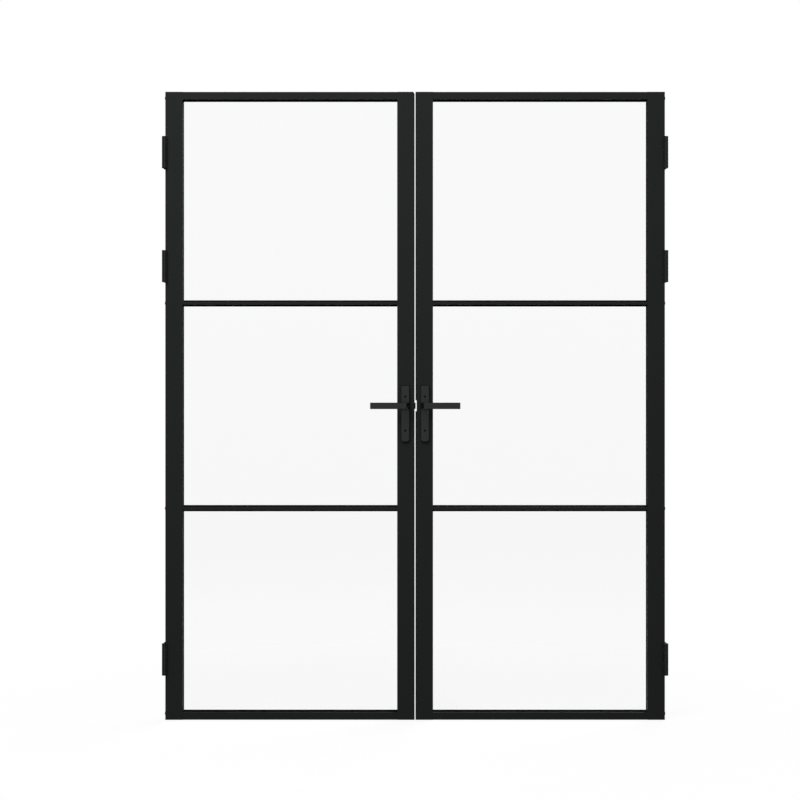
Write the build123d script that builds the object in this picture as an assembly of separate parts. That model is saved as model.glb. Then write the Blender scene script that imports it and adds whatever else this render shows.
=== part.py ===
from build123d import *
import math
import os

# A pair of glazed french doors: two black aluminium leaves, three panes each.
# Millimetres. X runs along the pair from the meeting line, Y from front to back, Z up from the leaf's foot.
# Every leaf piece is drawn for the right leaf; the left leaf is its mirror image.

# The pair
leaf_width = 800.0
leaf_height = 2015.0
leaf_depth = 40.0
meeting_gap = 3.0
overrun = 1.0

# Extruded stiles
stile_face = 56.0
stile_wall = 3.0
stile_round = 1.0
stile_groove_depth = 9.0
latch_room = 0.8
plug_height = 10.0
plug_fit = 0.25
corner_bevel_width = 4.5
corner_bevel_height = 7.0

# Extruded rails and glazing bars
rail_face = 24.0
rail_wall = 3.0
rail_setback = 0.3
rail_round = 0.6
bar_face = 10.0
rail_groove_depth = 4.0
port_radius = 2.5
port_wall = 2.0
rail_port_inset = 4.0

# Glass and gaskets
glass_thickness = 6.0
gasket_leg = 2.9
gasket_base = 2.0
gasket_fit = 0.1

# Assembly screws through the stiles into the ports
screw_radius = 2.4
screw_bite = 30.0
screw_hole_clearance = 0.3
button_head_radius = 6.0
button_head_rim = 0.6
button_head_height = 2.2
sunk_head_radius = 4.8
sunk_head_clearance = 0.15

# Butt hinges
hinge_height = 102.0
hinge_end_distance = 195.0
hinge_upper_pitch = 365.0
hinge_gap = 3.0
hinge_face_gap = 0.5
flap_setback = 7.0
flap_fit = 0.2
flap_round = 4.0
knuckle_count = 5
knuckle_radius = 8.0
knuckle_play = 0.3
pin_radius = 4.0
pin_play = 0.05
pin_end_chamfer = 0.8
flap_hole_end = 16.0
flap_hole_front = 10.5
flap_hole_edge = 6.5
jamb_hole_radius = 2.75
door_hole_radius = 2.45
flap_screw_radius = 2.3
flap_screw_play = 0.05
flap_screw_tip = 4.0
backing_thickness = 5.0
backing_overlap = 10.0
backing_fit = 0.3

# Backplates
plate_width = 28.0
plate_above = 66.0
plate_below = 116.0
plate_thickness = 9.0
plate_top_round = 6.0
plate_bottom_round = 10.0
plate_edge_round = 2.5
plate_screw_above = 29.5
plate_screw_below = 79.5
plate_ring_below = 51.0
plate_ring_radius = 6.0
plate_ring_width = 1.5
plate_ring_depth = 1.0
plate_screw_radius = 2.0
plate_screw_head_radius = 3.3
plate_screw_head_height = 2.5
plate_screw_sink = 3.5
plate_screw_bore_clearance = 0.2
sleeve_radius = 3.0
sleeve_length = 22.0
sleeve_grip = 6.2
sleeve_play = 0.1

# Levers and spindle
lever_length = 112.0
lever_height = 20.4
lever_thickness = 11.0
lever_projection = 56.0
neck_inner_reach = 12.4
neck_outer_reach = 10.0
bend_bevel_width = 8.6
bend_bevel_depth = 15.0
bend_corner_round = 1.5
bend_inner_radius = 8.0
lever_edge_round = 1.2
lever_boss_radius = 9.0
lever_boss_play = 0.1
lever_plate_gap = 0.4
lever_stile_gap = 1.0
spindle_width = 8.0
spindle_fit = 0.05
spindle_grip = 23.0
spindle_hole_radius = 7.0
socket_spare = 1.0

# Latch in the active leaf
latch_case_height = 46.0
latch_case_width = 14.0
latch_case_wall = 1.5
latch_case_fit = 0.3
face_plate_thickness = 2.0
face_plate_width = 20.0
face_plate_height = 70.0
face_plate_fit = 0.15
face_plate_screw_spread = 58.0
latch_screw_length = 9.0
latch_screw_radius = 1.8
latch_screw_head_radius = 3.4
bolt_reach = 3.5
bolt_travel = 4.0
bolt_end_clearance = 0.5
bolt_height = 20.5
bolt_width = 10.0
bolt_bevel = 3.0
bolt_corner_round = 1.5
bolt_guide_clearance = 0.3
bolt_tail_width = 6.0
bolt_tail_height = 2.7
bolt_riser_length = 6.0
bolt_hook_length = 3.0
bolt_hook_drop = 4.8
hub_radius = 7.0
hub_width = 10.0
cam_reach = 10.5
cam_width = 6.0
cam_gap = 1.2
cam_clearance = 0.8
spring_radius = 3.0
spring_wire = 1.0
spring_turns = 5
spring_drop = 5.0
spring_bore_clearance = 0.4
spring_bore_depth = 8.0
spring_stop_distance = 6.5
spring_stop_thickness = 1.0
spring_stop_height = 9.0
spring_stop_clearance = 1.5

# Strike in the passive leaf
strike_notch_height = 35.0
strike_dish = 0.7
strike_thickness = 1.5
strike_flange = 14.0
strike_overlap = 1.5
strike_fit = 0.3
strike_screw_inset = 6.0
strike_screw_length = 8.0

# Places that follow from the sizes
meeting_edge = meeting_gap / 2
outer_edge = meeting_edge + leaf_width
stile_inside = meeting_edge + stile_face
hinge_stile_inside = outer_edge - stile_face
front_face = -leaf_depth / 2
plate_face = front_face - plate_thickness
groove_width = glass_thickness + 2 * (gasket_leg + gasket_fit)
gasket_height = stile_groove_depth - gasket_fit
port_setout = (leaf_depth + groove_width) / 4
pane_height = (leaf_height - 2 * rail_face - 2 * bar_face) / 3
lower_bar_level = rail_face + pane_height + bar_face / 2
upper_bar_level = lower_bar_level + bar_face + pane_height
low_port_level = rail_face - rail_port_inset
high_port_level = leaf_height - low_port_level
screw_levels = [low_port_level, lower_bar_level, upper_bar_level, high_port_level]
bottom_hinge_level = hinge_end_distance
top_hinge_level = leaf_height - hinge_end_distance
middle_hinge_level = top_hinge_level - hinge_upper_pitch
hinge_levels = {"top": top_hinge_level, "middle": middle_hinge_level, "bottom": bottom_hinge_level}
hinge_axis_x = outer_edge + hinge_gap / 2
hinge_axis_y = front_face - hinge_face_gap - knuckle_radius
flap_thickness = stile_wall
flap_depth = leaf_depth - flap_setback
flap_back = front_face + flap_depth
lever_level = leaf_height / 2
latch_back = stile_inside - stile_groove_depth - stile_wall - latch_room
hook_end = latch_back - latch_case_wall - bolt_end_clearance - bolt_travel
hook_face = hook_end - bolt_hook_length
lever_axis = hook_face - cam_gap - cam_width / 2
spring_stop = lever_axis - hub_radius - spring_stop_clearance - spring_stop_thickness
bolt_back = spring_stop - spring_stop_distance
spindle_end = leaf_depth / 2 + plate_thickness + spindle_grip
strike_notch_depth = stile_wall + strike_dish
plate_screw_levels = [lever_level + plate_screw_above, lever_level - plate_screw_below]


def block(x_from, x_to, y_from, y_to, z_from, z_to):
    """A box between two corners."""
    centre = Pos((x_from + x_to) / 2, (y_from + y_to) / 2, (z_from + z_to) / 2)
    return centre * Box(x_to - x_from, y_to - y_from, z_to - z_from)


def rod_x(radius, x_from, x_to, y, z):
    """A round rod along X."""
    return Pos((x_from + x_to) / 2, y, z) * Rot(0, 90, 0) * Cylinder(radius, x_to - x_from)


def rod_y(radius, y_from, y_to, x, z):
    """A round rod along Y."""
    return Pos(x, (y_from + y_to) / 2, z) * Rot(90, 0, 0) * Cylinder(radius, y_to - y_from)


def rod_z(radius, z_from, z_to, x, y):
    """A round rod along Z."""
    return Pos(x, y, (z_from + z_to) / 2) * Cylinder(radius, z_to - z_from)


def sunk_cone(face_radius, tip_radius, x_face, y, z, inward):
    """A 90 degree countersink from a face across X, narrowing in the direction of inward."""
    depth = face_radius - tip_radius
    cone = Cone(face_radius, tip_radius, depth, align=(Align.CENTER, Align.CENTER, Align.MIN))
    return Pos(x_face, y, z) * Rot(0, 90 * inward, 0) * cone


def sunk_screw(face_radius, shank_radius, x_face, y, z, inward, length):
    """A countersunk screw with its head flush in a face across X."""
    shank_end = x_face + inward * length
    shank = rod_x(shank_radius, min(x_face, shank_end), max(x_face, shank_end), y, z)
    return shank + sunk_cone(face_radius, shank_radius, x_face, y, z, inward)


def button_head():
    """A low domed head along Z, standing on the XY plane."""
    dome = button_head_height - button_head_rim
    ball = (button_head_radius**2 + dome**2) / (2 * dome)
    half_angle = math.asin(button_head_radius / ball) / 2
    middle = (ball * math.sin(half_angle), button_head_height - ball * (1 - math.cos(half_angle)))
    outline = Polyline(
        (0, button_head_height), (0, 0), (button_head_radius, 0), (button_head_radius, button_head_rim)
    )
    outline += ThreePointArc((button_head_radius, button_head_rim), middle, (0, button_head_height))
    return revolve(make_face(Plane.XZ * outline), Axis.Z, 360)


def chamber_outline(fit):
    """The hollow of a stile, which wraps round the glazing channel; fit draws it in on all sides."""
    hollow = Rectangle(stile_face - 2 * (stile_wall + fit), leaf_depth - 2 * (stile_wall + fit))
    channel_depth = stile_groove_depth + stile_wall + fit
    channel = Rectangle(channel_depth, groove_width + 2 * (stile_wall + fit))
    return hollow - Pos((stile_face - channel_depth) / 2, 0) * channel


def stile_outline():
    """Stile section, with its glazing groove towards +X."""
    groove = Rectangle(stile_groove_depth + overrun, groove_width)
    groove = Pos((stile_face - stile_groove_depth + overrun) / 2, 0) * groove
    return RectangleRounded(stile_face, leaf_depth, stile_round) - chamber_outline(0) - groove


def stile_places():
    """Centre lines of the meeting and the hinge stile, each turned with its groove to the glass."""
    meeting = Pos(meeting_edge + stile_face / 2, 0, 0)
    hinge = Pos(outer_edge - stile_face / 2, 0, 0) * Rot(0, 0, 180)
    return meeting, hinge


def screw_holes():
    """Clearance holes for the assembly screws, right across the leaf."""
    radius = screw_radius + screw_hole_clearance
    holes = []
    for level in screw_levels:
        for y in (-port_setout, port_setout):
            holes.append(rod_x(radius, meeting_edge - overrun, stile_inside + overrun, y, level))
            holes.append(rod_x(radius, hinge_stile_inside - overrun, outer_edge + overrun, y, level))
            head_hole = sunk_head_radius + sunk_head_clearance
            holes.append(sunk_cone(head_hole, screw_radius, meeting_edge, y, level, 1))
    return holes


def corner_bevel():
    """The small wedge that is missing from the active leaf's top meeting corner."""
    low = leaf_height - corner_bevel_height
    tip = (meeting_edge + corner_bevel_width, leaf_height)
    wedge = Polygon((meeting_edge, low), tip, (meeting_edge, leaf_height), align=None)
    return extrude(Plane.XZ * wedge, leaf_depth / 2 + overrun, both=True)


def handle_holes():
    """Holes for the spindle and the backplate screws, through both faces of the meeting stile."""
    depth = leaf_depth / 2 + overrun
    holes = [rod_y(spindle_hole_radius, -depth, depth, lever_axis, lever_level)]
    for level in plate_screw_levels:
        holes.append(rod_y(sleeve_radius + plate_screw_bore_clearance, -depth, depth, lever_axis, level))
    return holes


def latch_holes():
    """Openings in the active leaf's meeting edge for the latch case, its face plate and its screws."""
    plate_side = face_plate_width / 2 + face_plate_fit
    plate_top = face_plate_height / 2 + face_plate_fit
    case_side = latch_case_width / 2 + latch_case_fit
    case_top = latch_case_height / 2 + latch_case_fit
    inside = meeting_edge + stile_wall + overrun
    recess = meeting_edge + face_plate_thickness
    cuts = [
        block(meeting_edge - overrun, recess, -plate_side, plate_side,
              lever_level - plate_top, lever_level + plate_top),
        block(meeting_edge, inside, -case_side, case_side, lever_level - case_top, lever_level + case_top),
    ]
    for level in latch_screw_levels():
        cuts.append(rod_x(latch_screw_radius + sunk_head_clearance, meeting_edge, inside, 0, level))
    return cuts


def latch_screw_levels():
    """Levels of the two screws in the latch's face plate."""
    return [lever_level + face_plate_screw_spread / 2, lever_level - face_plate_screw_spread / 2]


def strike_screw_levels():
    """Levels of the two screws that hold the strike's flanges."""
    spread = strike_notch_height / 2 + strike_flange - strike_screw_inset
    return [lever_level + spread, lever_level - spread]


def strike_holes():
    """The see-through notch in the passive leaf's meeting edge, and the strike's screw holes."""
    half = strike_notch_height / 2
    depth = leaf_depth / 2 + overrun
    floor = meeting_edge + strike_notch_depth
    cuts = [block(meeting_edge - overrun, floor, -depth, depth, lever_level - half, lever_level + half)]
    for level in strike_screw_levels():
        inside = meeting_edge + stile_wall + overrun
        cuts.append(rod_x(latch_screw_radius + sunk_head_clearance, meeting_edge, inside, 0, level))
        head_hole = latch_screw_head_radius + sunk_head_clearance
        cuts.append(sunk_cone(head_hole, latch_screw_radius, meeting_edge, 0, level, 1))
    return cuts


def hinge_mortises():
    """Windows in the hinge stile's outer edge for the door flaps, open to the front."""
    half = hinge_height / 2 + flap_fit
    cuts = []
    for level in hinge_levels.values():
        cuts.append(block(outer_edge - flap_thickness, outer_edge + overrun, front_face - overrun,
                          flap_back + flap_fit, level - half, level + half))
    return cuts


def make_stiles(active):
    """Both stiles of a leaf with their holes, and the plugs in their ends."""
    meeting_place, hinge_place = stile_places()
    meeting = meeting_place * extrude(stile_outline(), leaf_height)
    hinge = hinge_place * extrude(stile_outline(), leaf_height)
    meeting -= screw_holes() + handle_holes() + (latch_holes() if active else strike_holes())
    hinge -= screw_holes() + hinge_mortises()
    plug = extrude(chamber_outline(plug_fit), plug_height)
    plugs = []
    for place in (meeting_place, hinge_place):
        plugs.append(place * plug)
        plugs.append(Pos(0, 0, leaf_height - plug_height) * place * plug)
    if active:
        meeting -= corner_bevel()
        plugs[1] -= corner_bevel()
    return meeting, hinge, plugs


def rail_outline():
    """Rail section in Y and Z with its glazed edge on Y, groove, screw ports and hollow."""
    body = rail_face - rail_setback
    outline = Pos(0, body / 2) * RectangleRounded(leaf_depth, body, rail_round)
    groove = Rectangle(groove_width, rail_groove_depth + overrun)
    outline -= Pos(0, (rail_groove_depth - overrun) / 2) * groove
    floor = rail_port_inset + port_radius + port_wall
    ceiling = body - rail_wall
    outline -= Pos(0, (floor + ceiling) / 2) * Rectangle(leaf_depth - 2 * rail_wall, ceiling - floor)
    for y in (-port_setout, port_setout):
        outline -= Pos(y, rail_port_inset) * Circle(port_radius)
    return outline


def bar_outline():
    """Glazing bar section in Y and Z: two noses joined by a web between the grooves."""
    outline = RectangleRounded(leaf_depth, bar_face, rail_round)
    groove_centre = (bar_face - rail_groove_depth + overrun) / 2
    for side in (-1, 1):
        outline -= Pos(0, side * groove_centre) * Rectangle(groove_width, rail_groove_depth + overrun)
    for y in (-port_setout, port_setout):
        outline -= Pos(y, 0) * Circle(port_radius)
    return outline


def make_rails():
    """Rails and glazing bars, each run from stile to stile."""
    length = hinge_stile_inside - stile_inside
    rail = extrude(Plane.YZ * rail_outline(), length)
    bar = extrude(Plane.YZ * bar_outline(), length)
    return {
        "top_rail": Pos(stile_inside, 0, leaf_height - rail_face) * rail,
        "bottom_rail": Pos(stile_inside, 0, rail_face) * Rot(180, 0, 0) * rail,
        "upper_bar": Pos(stile_inside, 0, upper_bar_level) * bar,
        "lower_bar": Pos(stile_inside, 0, lower_bar_level) * bar,
    }


def pane_block(inset, thickness, z_from, z_to):
    """A block in the glazing grooves round one opening, inset from their floors."""
    seat = stile_groove_depth - inset
    edge = rail_groove_depth - inset
    return block(stile_inside - seat, hinge_stile_inside + seat, -thickness / 2, thickness / 2,
                 z_from - edge, z_to + edge)


def make_glazing():
    """Glass and its channel gasket for each opening, top to bottom."""
    gasket_width = glass_thickness + 2 * gasket_leg
    openings = {
        "lower": rail_face,
        "middle": lower_bar_level + bar_face / 2,
        "upper": upper_bar_level + bar_face / 2,
    }
    glass = {}
    gaskets = []
    for name, sill in openings.items():
        head = sill + pane_height
        slot = pane_block(gasket_fit + gasket_base, glass_thickness, sill, head)
        window = pane_block(gasket_fit + gasket_height, gasket_width + overrun, sill, head)
        gaskets.append(pane_block(gasket_fit, gasket_width, sill, head) - window - slot)
        glass[name + "_glass"] = slot
    return glass, gaskets


def make_assembly_screws():
    """Domed screws from the outer edge and countersunk ones from the meeting edge."""
    length = stile_face + screw_bite
    outer_screws = []
    meeting_screws = []
    for level in screw_levels:
        for y in (-port_setout, port_setout):
            shank = rod_x(screw_radius, outer_edge - length, outer_edge, y, level)
            outer_screws.append(shank + Pos(outer_edge, y, level) * Rot(0, 90, 0) * button_head())
            sunk = sunk_screw(sunk_head_radius, screw_radius, meeting_edge, y, level, 1, length)
            meeting_screws.append(sunk)
    return outer_screws, meeting_screws


def knuckle(index, level):
    """One turn of the hinge barrel, counted from the top, with its pin bore."""
    pitch = (hinge_height + knuckle_play) / knuckle_count
    top = level + hinge_height / 2 - index * pitch
    bottom = top - pitch + knuckle_play
    barrel = rod_z(knuckle_radius, bottom, top, hinge_axis_x, hinge_axis_y)
    return barrel, bottom, top


def hinge_flap(level, x_inside, x_outside, knuckles):
    """A hinge flap between two faces across X, with the barrel turns that belong to it."""
    half = hinge_height / 2
    plate = Rectangle(flap_depth, hinge_height)
    back_corners = plate.vertices().group_by(Axis.X)[-1]
    plate = Pos(front_face + flap_depth / 2, level) * fillet(back_corners, flap_round)
    flap = Pos(x_inside, 0, 0) * extrude(Plane.YZ * plate, x_outside - x_inside)
    for index in knuckles:
        barrel, bottom, top = knuckle(index, level)
        flap += block(x_inside, x_outside, hinge_axis_y, front_face, bottom, top)
        flap += barrel
    bore_end = half + overrun
    bore = rod_z(pin_radius + pin_play, level - bore_end, level + bore_end, hinge_axis_x, hinge_axis_y)
    return flap - bore


def flap_hole_places(level):
    """Centres of a flap's four screw holes, as Y and Z."""
    columns = (front_face + flap_hole_front, flap_back - flap_hole_edge)
    row = hinge_height / 2 - flap_hole_end
    return [(y, z) for y in columns for z in (level - row, level + row)]


def make_hinges():
    """Door flaps, jamb flaps, pins, backing plates and flap screws of a leaf's three hinges."""
    half = hinge_height / 2
    jamb_face = outer_edge + hinge_gap
    jamb_back = jamb_face + flap_thickness
    wall_inside = outer_edge - stile_wall
    backing_side = leaf_depth / 2 - stile_wall - backing_fit
    door_flaps = {}
    jamb_flaps = {}
    pins = []
    backings = []
    screws = []
    for name, level in hinge_levels.items():
        door = hinge_flap(level, wall_inside, outer_edge, range(1, knuckle_count, 2))
        jamb = hinge_flap(level, jamb_face, jamb_back, range(0, knuckle_count, 2))
        backing = block(wall_inside - backing_thickness, wall_inside, -backing_side, backing_side,
                        level - half - backing_overlap, level + half + backing_overlap)
        for y, z in flap_hole_places(level):
            door_head = door_hole_radius + flap_thickness / 2
            door -= rod_x(door_hole_radius, wall_inside - overrun, outer_edge + overrun, y, z)
            door -= sunk_cone(door_head, door_hole_radius, outer_edge, y, z, -1)
            jamb_head = jamb_hole_radius + flap_thickness / 2
            jamb -= rod_x(jamb_hole_radius, jamb_face - overrun, jamb_back + overrun, y, z)
            jamb -= sunk_cone(jamb_head, jamb_hole_radius, jamb_face, y, z, 1)
            backing -= rod_x(flap_screw_radius + flap_screw_play, wall_inside - backing_thickness - overrun,
                             wall_inside + overrun, y, z)
            screw_head = door_head - sunk_head_clearance
            screw_length = flap_thickness + backing_thickness + flap_screw_tip
            screws.append(sunk_screw(screw_head, flap_screw_radius, outer_edge, y, z, -1, screw_length))
        pin = rod_z(pin_radius, level - half, level + half, hinge_axis_x, hinge_axis_y)
        pins.append(chamfer(pin.edges().filter_by(GeomType.CIRCLE), pin_end_chamfer))
        door_flaps[name] = door
        jamb_flaps[name] = jamb
        backings.append(backing)
    return door_flaps, jamb_flaps, pins, backings, screws


def make_backplate():
    """The front backplate: rounded slim plate with its bearing, screw bores and blank key ring."""
    height = plate_above + plate_below
    outline = Rectangle(plate_width, height)
    outline = fillet(outline.vertices().group_by(Axis.Y)[-1], plate_top_round)
    outline = fillet(outline.vertices().group_by(Axis.Y)[0], plate_bottom_round)
    centre = lever_level + (plate_above - plate_below) / 2
    plate = Pos(lever_axis, front_face, centre) * extrude(Plane.XZ * outline, plate_thickness)
    plate = fillet(plate.faces().sort_by(Axis.Y)[0].edges(), plate_edge_round)
    plate -= rod_y(lever_boss_radius + lever_boss_play, plate_face - overrun, front_face + overrun,
                   lever_axis, lever_level)
    head_bore = plate_screw_head_radius + plate_screw_bore_clearance
    head_floor = plate_face + plate_screw_sink + plate_screw_head_height
    for level in plate_screw_levels:
        plate -= rod_y(head_bore, plate_face - overrun, head_floor, lever_axis, level)
        plate -= rod_y(sleeve_radius + plate_screw_bore_clearance, plate_face, front_face + overrun,
                       lever_axis, level)
    ring_level = lever_level - plate_ring_below
    ring_floor = plate_face + plate_ring_depth
    ring = rod_y(plate_ring_radius, plate_face - overrun, ring_floor, lever_axis, ring_level)
    disc_radius = plate_ring_radius - plate_ring_width
    disc = rod_y(disc_radius, plate_face - overrun, ring_floor, lever_axis, ring_level)
    return plate - (ring - disc)


def make_plate_screws():
    """Screws from the front plate into sleeve nuts from the rear plate."""
    seat = plate_face + plate_screw_sink
    rear_seat = -seat
    sleeve_end = rear_seat - sleeve_length
    tail = sleeve_end + sleeve_grip
    pieces = []
    for level in plate_screw_levels:
        head_end = seat + plate_screw_head_height
        head = rod_y(plate_screw_head_radius, seat, head_end, lever_axis, level)
        pieces.append(head + rod_y(plate_screw_radius, seat, tail, lever_axis, level))
        nut_head = rear_seat - plate_screw_head_height
        nut = rod_y(plate_screw_head_radius, nut_head, rear_seat, lever_axis, level)
        nut += rod_y(sleeve_radius, sleeve_end, rear_seat, lever_axis, level)
        nut -= rod_y(plate_screw_radius + sleeve_play, sleeve_end - overrun, tail + overrun,
                     lever_axis, level)
        pieces.append(nut)
    return pieces


def make_lever():
    """The front lever: a flat bar bevelled back to its neck, with a round boss and a square socket."""
    bar_front = front_face - lever_projection
    bar_back = bar_front + lever_thickness
    neck_end = plate_face - lever_plate_gap
    inner = lever_axis - neck_inner_reach
    outer = lever_axis + neck_outer_reach
    tip = lever_axis + lever_length
    outline = Polygon((inner, neck_end), (inner, bar_front + bend_bevel_depth),
                      (inner + bend_bevel_width, bar_front), (tip, bar_front), (tip, bar_back),
                      (outer, bar_back), (outer, neck_end), align=None)
    bevel_corners = outline.vertices().sort_by_distance((inner, bar_front, 0))[:2]
    outline = fillet(bevel_corners, bend_corner_round)
    crook = outline.vertices().sort_by_distance((outer, bar_back, 0))[0]
    outline = fillet(crook, bend_inner_radius)
    lever = Pos(0, 0, lever_level - lever_height / 2) * extrude(outline, lever_height)
    rims = lever.faces().sort_by(Axis.Z)
    neck_foot = lever.faces().sort_by(Axis.Y)[-1]
    edges = [edge for face in (rims[0], rims[-1]) for edge in face.edges()]
    edges = [edge for edge in edges if edge.center().Y < neck_foot.center().Y - lever_edge_round]
    lever = fillet(edges, lever_edge_round)
    boss_end = front_face - lever_stile_gap
    lever += rod_y(lever_boss_radius, neck_end - overrun, boss_end, lever_axis, lever_level)
    half = spindle_width / 2 + spindle_fit
    socket = block(lever_axis - half, lever_axis + half, -spindle_end - socket_spare, boss_end + overrun,
                   lever_level - half, lever_level + half)
    return lever - socket


def make_spindle():
    """The square spindle that joins the front and rear lever."""
    half = spindle_width / 2
    return block(lever_axis - half, lever_axis + half, -spindle_end, spindle_end,
                 lever_level - half, lever_level + half)


def make_latch_case():
    """Latch case folded from sheet, with its face plate and the stop that the spring pushes on."""
    side = latch_case_width / 2
    half = latch_case_height / 2
    wall = latch_case_wall
    front = meeting_edge + face_plate_thickness
    case = block(front, latch_back, -side, side, lever_level - half, lever_level + half)
    case -= block(front, latch_back - wall, wall - side, side - wall, lever_level - half + wall,
                  lever_level + half - wall)
    plate_side = face_plate_width / 2
    plate_half = face_plate_height / 2
    case += block(meeting_edge, front, -plate_side, plate_side,
                  lever_level - plate_half, lever_level + plate_half)
    guide_side = bolt_width / 2 + bolt_guide_clearance
    guide_half = bolt_height / 2 + bolt_guide_clearance
    case -= block(meeting_edge - overrun, front + overrun, -guide_side, guide_side,
                  lever_level - guide_half, lever_level + guide_half)
    hub_hole = hub_radius + cam_clearance
    case -= rod_y(hub_hole, -side - overrun, side + overrun, lever_axis, lever_level)
    stop_low = lever_level - spring_drop - spring_stop_height / 2
    case += block(spring_stop, spring_stop + spring_stop_thickness, wall / 2 - side, side - wall / 2,
                  stop_low, stop_low + spring_stop_height)
    hole = latch_screw_radius + sunk_head_clearance
    for level in latch_screw_levels():
        case -= rod_x(hole, meeting_edge - overrun, front + overrun, 0, level)
        head_hole = latch_screw_head_radius + sunk_head_clearance
        case -= sunk_cone(head_hole, latch_screw_radius, meeting_edge, 0, level, 1)
    return case


def make_latch_bolt():
    """Latch bolt: bevelled head, and a tail that reaches over the follower's cam and hooks behind it."""
    nose = meeting_edge - bolt_reach
    half = bolt_height / 2
    side = bolt_width / 2
    head = block(nose, bolt_back, -side, side, lever_level - half, lever_level + half)
    rear_edge = head.edges().filter_by(Axis.Z).sort_by_distance((nose, side, lever_level))[0]
    head = chamfer(rear_edge, bolt_bevel)
    nose_edges = head.faces().sort_by(Axis.X)[0].edges().filter_by(Axis.Y)
    head = fillet(nose_edges, bolt_corner_round)
    tail_low = lever_level + math.hypot(cam_reach, cam_width / 2) + cam_clearance / 2
    tail_high = tail_low + bolt_tail_height
    tail_side = bolt_tail_width / 2
    riser = bolt_back - bolt_riser_length
    bolt = head + block(riser, bolt_back, -tail_side, tail_side, lever_level, tail_high)
    bolt += block(riser, hook_end, -tail_side, tail_side, tail_low, tail_high)
    bolt += block(hook_face, hook_end, -tail_side, tail_side, tail_low - bolt_hook_drop, tail_high)
    bore = spring_radius + spring_wire / 2 + spring_bore_clearance
    bolt -= rod_x(bore, bolt_back - spring_bore_depth, bolt_back + overrun, 0, lever_level - spring_drop)
    return bolt


def make_follower():
    """The follower: a hub on the spindle with a cam that draws the bolt back."""
    hub = rod_y(hub_radius, -hub_width / 2, hub_width / 2, lever_axis, lever_level)
    hub += block(lever_axis - cam_width / 2, lever_axis + cam_width / 2, -bolt_tail_width / 2,
                 bolt_tail_width / 2, lever_level, lever_level + cam_reach)
    half = spindle_width / 2 + spindle_fit
    return hub - block(lever_axis - half, lever_axis + half, -hub_width, hub_width,
                       lever_level - half, lever_level + half)


def make_latch_spring():
    """The coil spring of square wire between the bolt's bore and the stop in the case."""
    start = bolt_back - spring_bore_depth + spring_wire / 2
    length = spring_bore_depth + spring_stop_distance - spring_wire
    path = Helix(length / spring_turns, length, spring_radius)
    section = Plane(path @ 0, z_dir=path % 0) * Rectangle(spring_wire, spring_wire)
    coil = sweep(section, path=path, is_frenet=True)
    return Pos(start, 0, lever_level - spring_drop) * Rot(0, 90, 0) * coil


def make_latch_screws():
    """Countersunk screws that hold the latch's face plate."""
    return [
        sunk_screw(latch_screw_head_radius, latch_screw_radius, meeting_edge, 0, level, 1, latch_screw_length)
        for level in latch_screw_levels()
    ]


def make_strike():
    """The dished strike plate behind the notch, its flanges against the inside of the edge wall."""
    side = leaf_depth / 2 - stile_wall - strike_fit
    half = strike_notch_height / 2
    pan_half = half + 2 * strike_overlap
    pan = meeting_edge + strike_notch_depth
    strike = block(pan, pan + strike_thickness, -side, side, lever_level - pan_half, lever_level + pan_half)
    wall_inside = meeting_edge + stile_wall
    flange_end = half + strike_flange
    for low, high in ((-flange_end, -half - strike_overlap), (half + strike_overlap, flange_end)):
        strike += block(wall_inside, wall_inside + strike_thickness, -side, side,
                        lever_level + low, lever_level + high)
    for level in strike_screw_levels():
        strike -= rod_x(latch_screw_radius + sunk_head_clearance, wall_inside - overrun,
                        wall_inside + strike_thickness + overrun, 0, level)
    return strike


def make_strike_screws():
    """Countersunk screws through the edge wall into the strike's flanges."""
    return [
        sunk_screw(latch_screw_head_radius, latch_screw_radius, meeting_edge, 0, level, 1,
                   strike_screw_length)
        for level in strike_screw_levels()
    ]


def make_leaf(active):
    """All nodes of one leaf, and its jamb flaps and hinge pins, drawn for the right-hand place."""
    nodes = {}
    nodes["meeting_stile"], nodes["hinge_stile"], nodes["stile_plugs"] = make_stiles(active)
    nodes.update(make_rails())
    glass, nodes["glazing_gaskets"] = make_glazing()
    nodes.update(glass)
    nodes["outer_edge_screws"], nodes["meeting_edge_screws"] = make_assembly_screws()
    door_flaps, jamb_flaps, pins, nodes["hinge_backing_plates"], nodes["hinge_screws"] = make_hinges()
    for name in hinge_levels:
        nodes[name + "_hinge_flap"] = door_flaps[name]
        nodes[name + "_jamb_flap"] = jamb_flaps[name]
    nodes["hinge_pins"] = pins
    plate = make_backplate()
    lever = make_lever()
    nodes["front_plate"] = plate
    nodes["rear_plate"] = mirror(plate, about=Plane.XZ)
    nodes["front_lever"] = lever
    nodes["rear_lever"] = mirror(lever, about=Plane.XZ)
    nodes["spindle"] = make_spindle()
    nodes["plate_screws"] = make_plate_screws()
    if active:
        nodes["latch_case"] = make_latch_case()
        nodes["latch_bolt"] = make_latch_bolt()
        nodes["latch_follower"] = make_follower()
        nodes["latch_spring"] = make_latch_spring()
        nodes["meeting_edge_screws"] += make_latch_screws()
    else:
        nodes["strike_plate"] = make_strike()
        nodes["meeting_edge_screws"] += make_strike_screws()
    return nodes


def solids_of(shape):
    """The separate solids of a piece or of a list of like pieces."""
    pieces = shape if isinstance(shape, list) else [shape]
    return [solid for piece in pieces for solid in piece.solids()]


def export_node(name, solids):
    """Write one node, of one solid or of a group of like solids, to its own file."""
    node = solids[0] if len(solids) == 1 else Compound(solids)
    export_step(node, f"parts/{name}.step")


def export_pair():
    """Write both leaves' nodes, the left mirrored, with the hinge pins of both in one node."""
    pins = []
    for side, active in (("left", True), ("right", False)):
        for name, shape in make_leaf(active).items():
            solids = solids_of(shape)
            if side == "left":
                solids = solids_of([mirror(solid, about=Plane.YZ) for solid in solids])
            if name == "hinge_pins":
                pins += solids
            else:
                export_node(f"{side}_{name}", solids)
    export_node("hinge_pins", pins)


os.makedirs("parts", exist_ok=True)
export_pair()
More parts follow.
